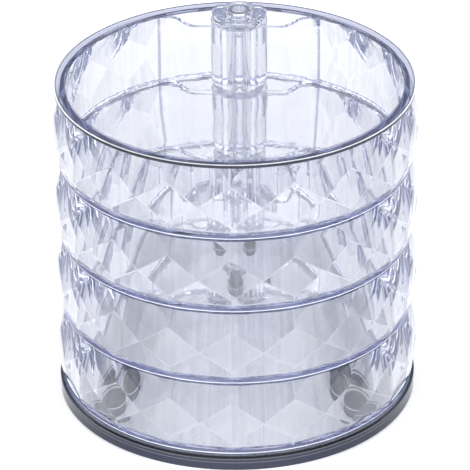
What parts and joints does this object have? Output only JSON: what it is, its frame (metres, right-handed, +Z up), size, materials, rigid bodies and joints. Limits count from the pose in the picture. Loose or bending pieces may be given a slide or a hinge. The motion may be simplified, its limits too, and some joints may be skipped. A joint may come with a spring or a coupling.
{
  "type": "rotating jewelry box",
  "caption": "Round clear stacking box whose faceted trays and flat lid each swing sideways about one upright axle at the back.",
  "frame": {"origin": "on the surface it stands on, under the middle of the closed stack", "axes": "+Z up along the stack, +Y towards the axle at the back, -Y the front"},
  "size_m": [0.102, 0.1006, 0.0965],
  "materials": {
    "clear_plastic": "clear moulded plastic with a faint blue-violet tint, polished",
    "smoked_plastic": "translucent smoke-grey moulded plastic, polished",
    "grey_rubber": "matt moulded rubber",
    "steel": "plated steel"
  },
  "bodies": {
    "root": {"base_shell": "smoked_plastic", "foot_front_left": "grey_rubber", "foot_front_right": "grey_rubber", "foot_rear": "grey_rubber", "axle_screw": "steel", "axle": "clear_plastic", "axle_cap": "clear_plastic"},
    "tray_4": {"tray_4": "clear_plastic"},
    "tray_3": {"tray_3": "clear_plastic"},
    "tray_2": {"tray_2": "clear_plastic"},
    "tray_1": {"tray_1": "clear_plastic"},
    "lid": {"lid": "clear_plastic"}
  },
  "joints": [
    {"name": "tray_4_swing", "type": "hinge", "parent": "root", "child": "tray_4", "pos_m": [0, 0.044, 0], "axis": [0, 0, 1], "continuous": true},
    {"name": "tray_3_swing", "type": "hinge", "parent": "root", "child": "tray_3", "pos_m": [0, 0.044, 0], "axis": [0, 0, 1], "continuous": true},
    {"name": "tray_2_swing", "type": "hinge", "parent": "root", "child": "tray_2", "pos_m": [0, 0.044, 0], "axis": [0, 0, 1], "continuous": true},
    {"name": "tray_1_swing", "type": "hinge", "parent": "root", "child": "tray_1", "pos_m": [0, 0.044, 0], "axis": [0, 0, 1], "continuous": true},
    {"name": "lid_swing", "type": "hinge", "parent": "root", "child": "lid", "pos_m": [0, 0.044, 0], "axis": [0, 0, 1], "continuous": true}
  ]
}
